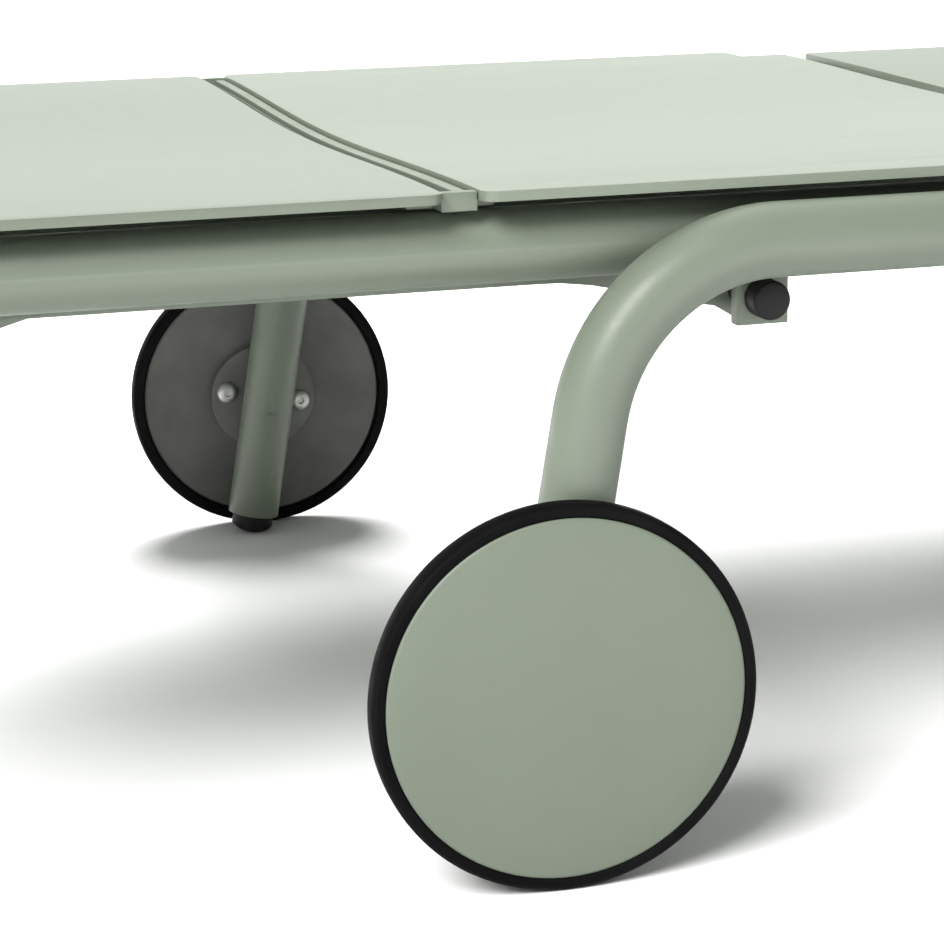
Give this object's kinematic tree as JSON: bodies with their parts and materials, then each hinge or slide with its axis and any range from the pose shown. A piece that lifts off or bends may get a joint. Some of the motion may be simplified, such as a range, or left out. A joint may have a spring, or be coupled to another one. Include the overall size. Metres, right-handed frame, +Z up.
{
  "type": "reclining sun lounger",
  "caption": "Low outdoor lounger with dished sheet-metal panels on round tube rails, bent-tube legs, two wheels and a reclining backrest on a folding stay.",
  "frame": {"origin": "on the ground under the middle of the lounger", "axes": "+X along the lounger towards the foot end, +Y towards the user's left, +Z up"},
  "size_m": [1.968, 0.7, 0.3067],
  "materials": {
    "frame_paint": "satin powder coat, sage grey-green",
    "panel_paint": "satin powder coat, pale sage grey-green",
    "tyre_black": "matt black",
    "wheel_dark_plastic": "matt dark grey",
    "black_plastic": "matt black",
    "stainless": "plain"
  },
  "bodies": {
    "frame": {"end_tube_foot": "frame_paint", "end_tube_head": "frame_paint", "foot_cap_foot_left": "black_plastic", "foot_cap_foot_right": "black_plastic", "foot_cap_head_left": "black_plastic", "foot_cap_head_right": "black_plastic", "hinge_bracket_left": "frame_paint", "hinge_bracket_right": "frame_paint", "hinge_pin_left": "stainless", "hinge_pin_right": "stainless", "leg_hoop_left": "frame_paint", "leg_hoop_right": "frame_paint", "rail_plug_foot_left": "black_plastic", "rail_plug_foot_right": "black_plastic", "rail_plug_head_left": "black_plastic", "rail_plug_head_right": "black_plastic", "seat_bearer_calf": "frame_paint", "seat_bearer_foot": "frame_paint", "seat_bearer_hinge": "frame_paint", "seat_bearer_thigh": "frame_paint", "seat_panel_foot": "panel_paint", "seat_panel_hinge": "panel_paint", "seat_panel_middle": "panel_paint", "side_rail_left": "frame_paint", "side_rail_right": "frame_paint", "stay_lug_left": "frame_paint", "stay_lug_right": "frame_paint", "stay_pin_cap_left": "black_plastic", "stay_pin_cap_right": "black_plastic", "stay_pin_left": "stainless", "stay_pin_right": "stainless", "stay_spacer_left": "black_plastic", "stay_spacer_right": "black_plastic", "wheel_bolt_foot_left": "stainless", "wheel_bolt_foot_right": "stainless", "wheel_bolt_head_left": "stainless", "wheel_bolt_head_right": "stainless", "wheel_flange_left": "frame_paint", "wheel_flange_right": "frame_paint"},
    "backrest": {"backrest_bearer_head": "frame_paint", "backrest_bearer_hinge": "frame_paint", "backrest_bearer_middle": "frame_paint", "backrest_panel_head": "panel_paint", "backrest_panel_hinge": "panel_paint", "backrest_rack_left": "frame_paint", "backrest_rack_right": "frame_paint", "backrest_side_bar_left": "frame_paint", "backrest_side_bar_right": "frame_paint"},
    "stay": {"stay_arm_left": "frame_paint", "stay_arm_right": "frame_paint", "stay_cross_bar": "frame_paint", "stay_tip_rod": "frame_paint"},
    "wheel_left": {"wheel_core_left": "wheel_dark_plastic", "wheel_cover_left": "frame_paint", "wheel_tyre_left": "tyre_black"},
    "wheel_right": {"wheel_core_right": "wheel_dark_plastic", "wheel_cover_right": "frame_paint", "wheel_tyre_right": "tyre_black"}
  },
  "joints": [
    {"name": "backrest_tilt", "type": "hinge", "parent": "frame", "child": "backrest", "pos_m": [-0.1985, 0, 0.2895], "axis": [0, 1, 0], "range_deg": [0, 60]},
    {"name": "stay_swing", "type": "hinge", "parent": "frame", "child": "stay", "pos_m": [-0.4505, 0, 0.2486], "axis": [0, 1, 0], "range_deg": [0, 91.8]},
    {"name": "wheel_spin_left", "type": "hinge", "parent": "frame", "child": "wheel_left", "pos_m": [-0.564, 0.3436, 0.088], "axis": [0, 1, 0], "continuous": true},
    {"name": "wheel_spin_right", "type": "hinge", "parent": "frame", "child": "wheel_right", "pos_m": [-0.564, -0.3436, 0.088], "axis": [0, 1, 0], "continuous": true}
  ],
  "couplings": [
    {"joint": "stay_swing", "follows": "backrest_tilt", "ratio": 1.53}
  ]
}
